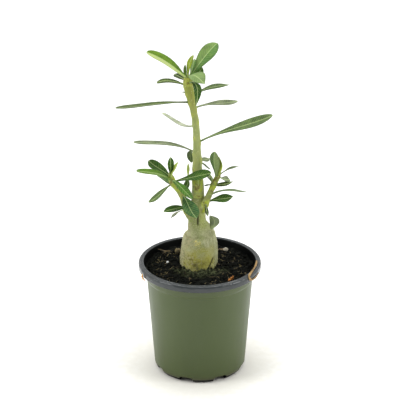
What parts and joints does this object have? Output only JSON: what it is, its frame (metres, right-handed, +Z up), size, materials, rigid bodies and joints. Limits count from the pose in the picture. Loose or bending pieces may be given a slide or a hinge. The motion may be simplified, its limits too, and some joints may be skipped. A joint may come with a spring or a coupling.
{
  "type": "potted desert rose adenium",
  "caption": "Young desert rose with a swollen grey-green base, an upright leafy stem and two side shoots, growing in dark potting mix in a round olive nursery pot with a dark rim.",
  "frame": {"origin": "centre of the pot's underside, on the ground", "axes": "+Z up along the pot's axis, -Y towards the front as pictured, +X to the viewer's right"},
  "size_m": [0.1399, 0.114, 0.3128],
  "materials": {
    "pot": "satin moulded polypropylene, olive green with a dark grey rim",
    "soil": "rough crumbly potting mix",
    "bark": "smooth grey-green living bark",
    "stem": "green living stem and leaves",
    "leaf": "waxy living leaf",
    "grain": "porous white perlite",
    "chip": "dry bark",
    "wood": "dry weathered wood",
    "straw": "dry plant fibre"
  },
  "bodies": {
    "root": {"pot": "pot", "soil": "soil", "caudex": "bark", "main_shoot": "stem", "left_shoot": "leaf", "right_shoot": "leaf", "low_leaf": "leaf", "perlite_grain": "grain", "bark_lump": "chip", "twig": "wood", "wood_sliver": "wood", "bark_chip": "chip", "fibre_strip": "straw"}
  },
  "joints": []
}
